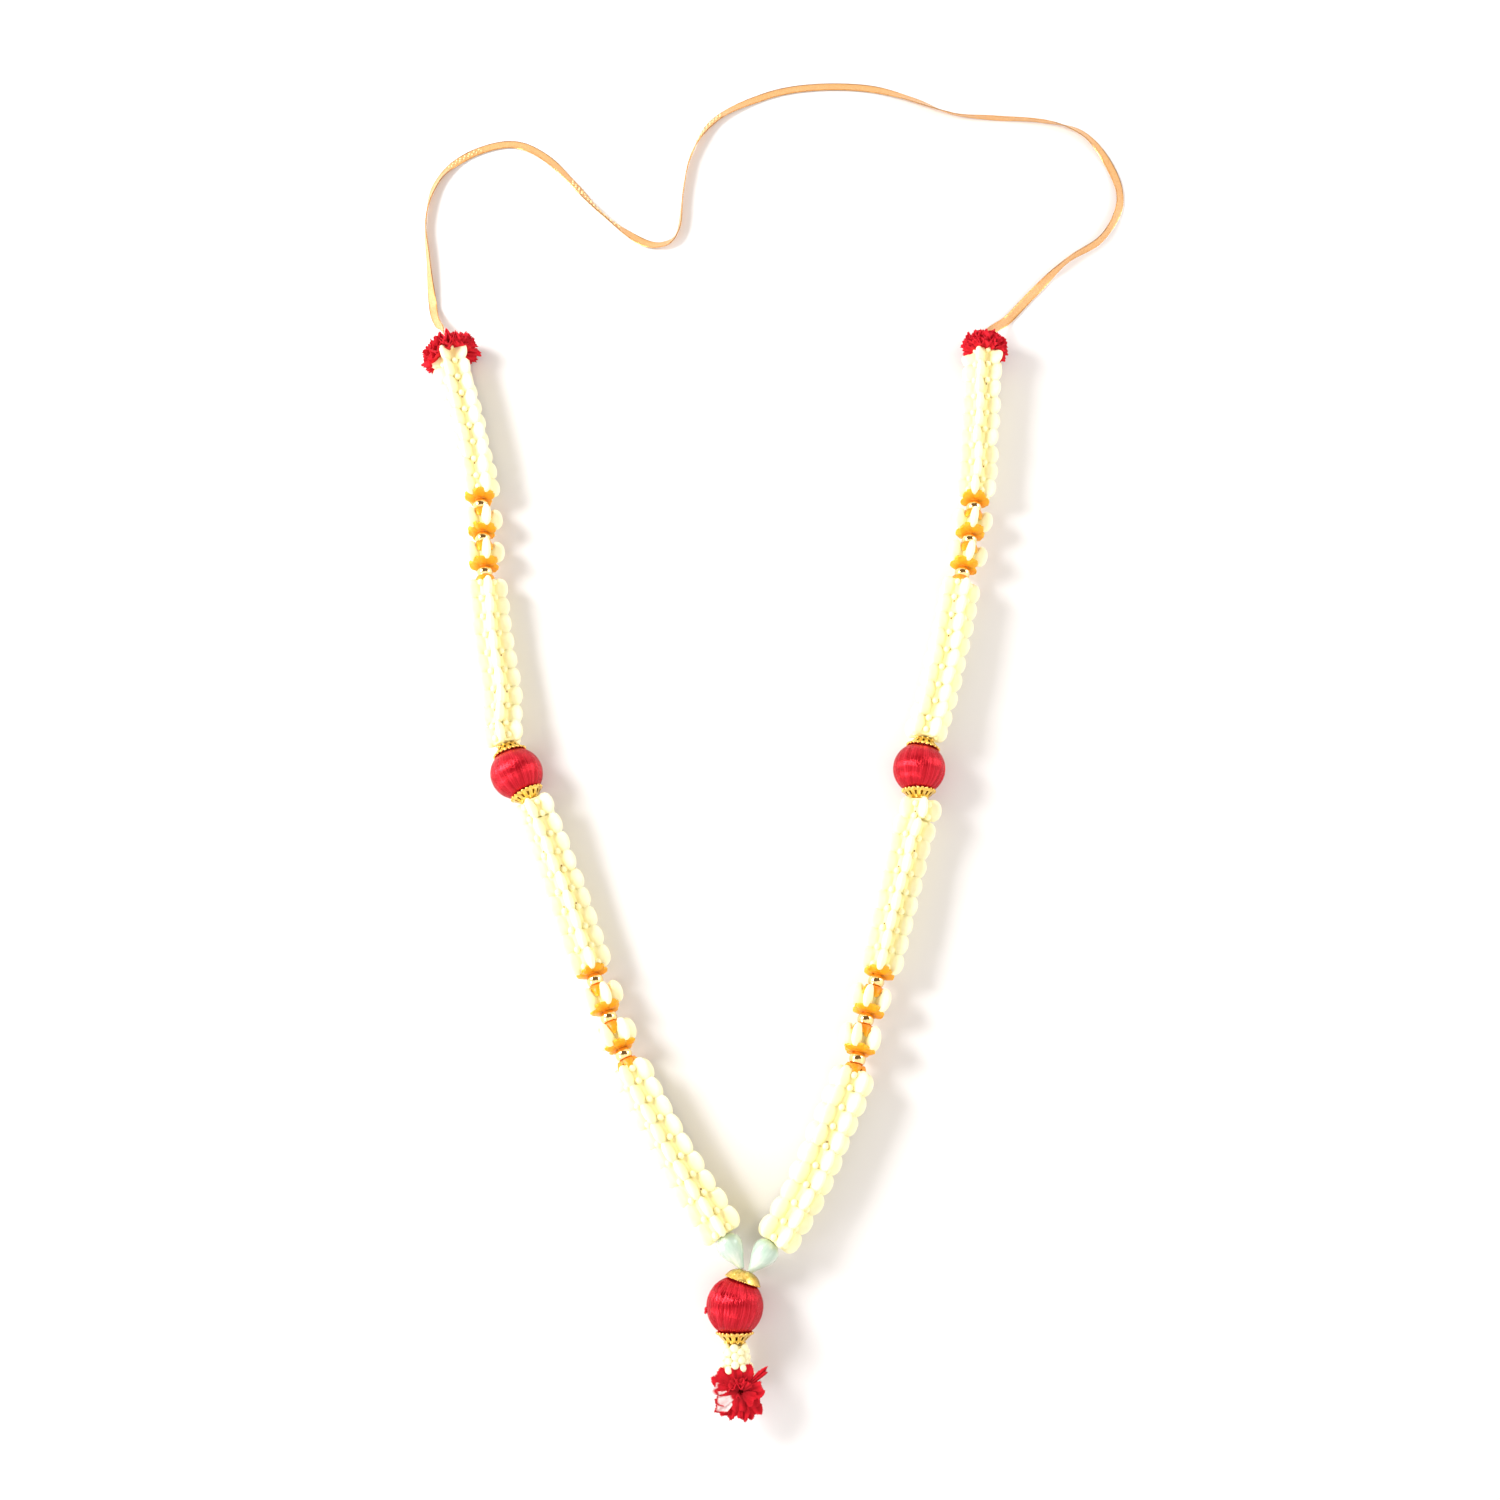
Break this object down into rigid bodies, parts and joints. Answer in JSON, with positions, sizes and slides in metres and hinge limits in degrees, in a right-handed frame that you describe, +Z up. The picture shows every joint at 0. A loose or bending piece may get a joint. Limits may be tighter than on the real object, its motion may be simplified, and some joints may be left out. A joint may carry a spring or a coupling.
{
  "type": "flower garland",
  "caption": "Thai-style artificial garland: strands of cream crown flowers, gold beads in orange cups, silk balls, carnations and a pendant, its loop closed by a loose gold ribbon.",
  "frame": {"origin": "on the surface it lies on, under the middle of the strung part's box, ribbon left out", "axes": "+Z up off the surface; +Y along the garland, from its pendant towards its ribbon; +X to the right as seen from above"},
  "size_m": [0.3098, 0.563, 0.0219],
  "materials": {
    "cream_plastic": "soft moulded, slightly translucent",
    "orange_plastic": "glossy moulded",
    "gold_bead": "metallised mirror gold",
    "gold_cap": "gilt pierced filigree",
    "red_silk": "satin thread wound from pole to pole",
    "mint_pearl": "pearly gloss",
    "carnation_cloth": "cut cloth with frayed edges",
    "gold_ribbon": "satin with a metallic edge thread",
    "thread_white": "twisted thread"
  },
  "bodies": {
    "root": {"carnation_left": "carnation_cloth", "strand_left_1": "cream_plastic", "strand_left_2": "cream_plastic", "strand_left_3": "cream_plastic", "strand_left_4": "cream_plastic", "cups_left_a_1": "orange_plastic", "bead_left_a_1": "gold_bead", "cups_left_a_2": "orange_plastic", "bead_left_a_2": "gold_bead", "cups_left_a_3": "orange_plastic", "bead_left_a_3": "gold_bead", "single_left_a_1": "cream_plastic", "single_left_a_2": "cream_plastic", "cups_left_b_1": "orange_plastic", "bead_left_b_1": "gold_bead", "cups_left_b_2": "orange_plastic", "bead_left_b_2": "gold_bead", "cups_left_b_3": "orange_plastic", "bead_left_b_3": "gold_bead", "single_left_b_1": "cream_plastic", "single_left_b_2": "cream_plastic", "teardrop_left": "mint_pearl", "thread_left": "thread_white", "carnation_right": "carnation_cloth", "strand_right_1": "cream_plastic", "strand_right_2": "cream_plastic", "strand_right_3": "cream_plastic", "strand_right_4": "cream_plastic", "cups_right_a_1": "orange_plastic", "bead_right_a_1": "gold_bead", "cups_right_a_2": "orange_plastic", "bead_right_a_2": "gold_bead", "cups_right_a_3": "orange_plastic", "bead_right_a_3": "gold_bead", "single_right_a_1": "cream_plastic", "single_right_a_2": "cream_plastic", "cups_right_b_1": "orange_plastic", "bead_right_b_1": "gold_bead", "cups_right_b_2": "orange_plastic", "bead_right_b_2": "gold_bead", "cups_right_b_3": "orange_plastic", "bead_right_b_3": "gold_bead", "single_right_b_1": "cream_plastic", "single_right_b_2": "cream_plastic", "teardrop_right": "mint_pearl", "thread_right": "thread_white", "ball_left": "red_silk", "ball_left_cap_top": "gold_cap", "ball_left_cap_bottom": "gold_cap", "ball_right": "red_silk", "ball_right_cap_top": "gold_cap", "ball_right_cap_bottom": "gold_cap", "ball_pendant": "red_silk", "ball_pendant_cap_top": "gold_cap", "ball_pendant_cap_bottom": "gold_cap", "bud_cluster": "cream_plastic", "carnation_pendant": "carnation_cloth", "ribbon": "gold_ribbon"}
  },
  "joints": []
}
